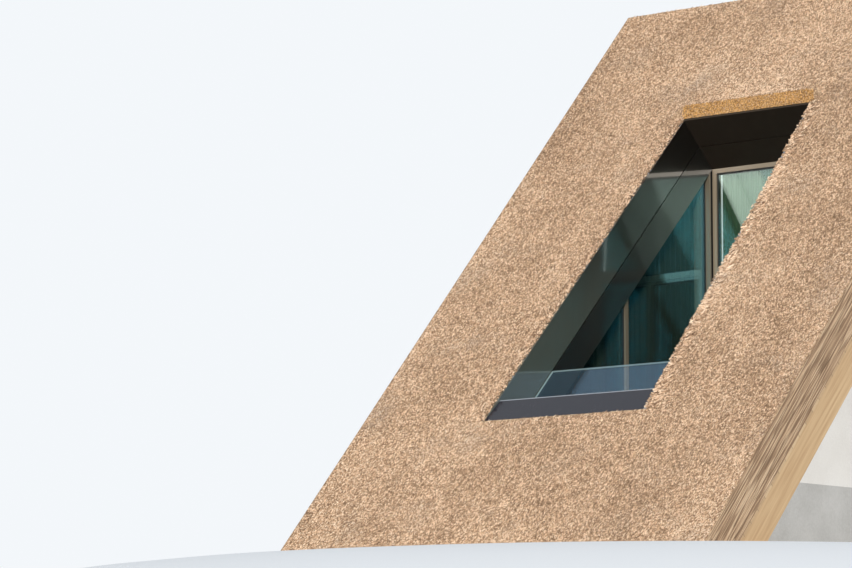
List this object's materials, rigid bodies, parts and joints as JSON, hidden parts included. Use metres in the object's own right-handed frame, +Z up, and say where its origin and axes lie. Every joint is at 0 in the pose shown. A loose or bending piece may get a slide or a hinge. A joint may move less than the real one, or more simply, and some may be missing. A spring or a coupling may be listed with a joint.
{
  "type": "inset dormer window",
  "caption": "Inset dormer window in a bay of thatched roof: dark metal lining, glass balustrade, terrace, upright window and glazed raking cheeks with curtains.",
  "frame": {"origin": "middle of the flat underside, where the storey floor and the rafters' feet rest", "axes": "+Z up, +X to the right along the eaves, +Y from the eaves into the building"},
  "size_m": [4.45, 4.9848, 5.4021],
  "materials": {
    "concrete": "cast concrete",
    "plaster": "smooth plaster",
    "oak_boards": "oiled oak boards",
    "terrace_boards": "grooved hardwood boards",
    "timber": "planed softwood",
    "boarding": "rough softwood boarding",
    "reed": "weathered reed thatch",
    "dark_metal": "glossy dark bronze coating",
    "sill_metal": "satin blue-grey coating",
    "black_metal": "matt black coating",
    "bronze_frame": "satin warm bronze coating",
    "clamp_metal": "natural anodised",
    "window_glass": "green-tinted sealed units",
    "rail_glass": "clear laminated, polished edges",
    "curtain_cloth": "pleated green curtain cloth"
  },
  "bodies": {
    "root": {"floor_slab": "concrete", "room_floor": "oak_boards", "terrace_deck": "terrace_boards", "party_wall_left": "plaster", "party_wall_right": "plaster", "knee_wall": "dark_metal", "rafters": "timber", "trimmers": "timber", "cross_trimmers": "timber", "purlin": "timber", "deck_left": "boarding", "deck_right": "boarding", "deck_top": "boarding", "deck_bottom": "boarding", "thatch_left": "reed", "thatch_right": "reed", "thatch_top": "reed", "thatch_bottom": "reed", "packing": "timber", "reveal_outer_left": "dark_metal", "reveal_outer_right": "dark_metal", "reveal_inner_left": "dark_metal", "reveal_inner_right": "dark_metal", "soffit_outer": "dark_metal", "soffit_inner": "dark_metal", "kerb_core": "timber", "kerb_cover": "sill_metal", "sill_inner": "dark_metal", "balustrade_channel": "clamp_metal", "balustrade_glass": "rail_glass", "head_packer": "black_metal", "front_frame": "bronze_frame", "door_leaf_left": "bronze_frame", "door_leaf_right": "bronze_frame", "front_panes": "window_glass", "corner_posts": "black_metal", "cheek_frame_left": "bronze_frame", "cheek_frame_right": "bronze_frame", "cheek_panes_left": "window_glass", "cheek_panes_right": "window_glass", "curtain_rails": "clamp_metal", "curtain_left": "curtain_cloth", "curtain_right": "curtain_cloth", "curtain_front_left": "curtain_cloth", "curtain_front_right": "curtain_cloth"}
  },
  "joints": []
}
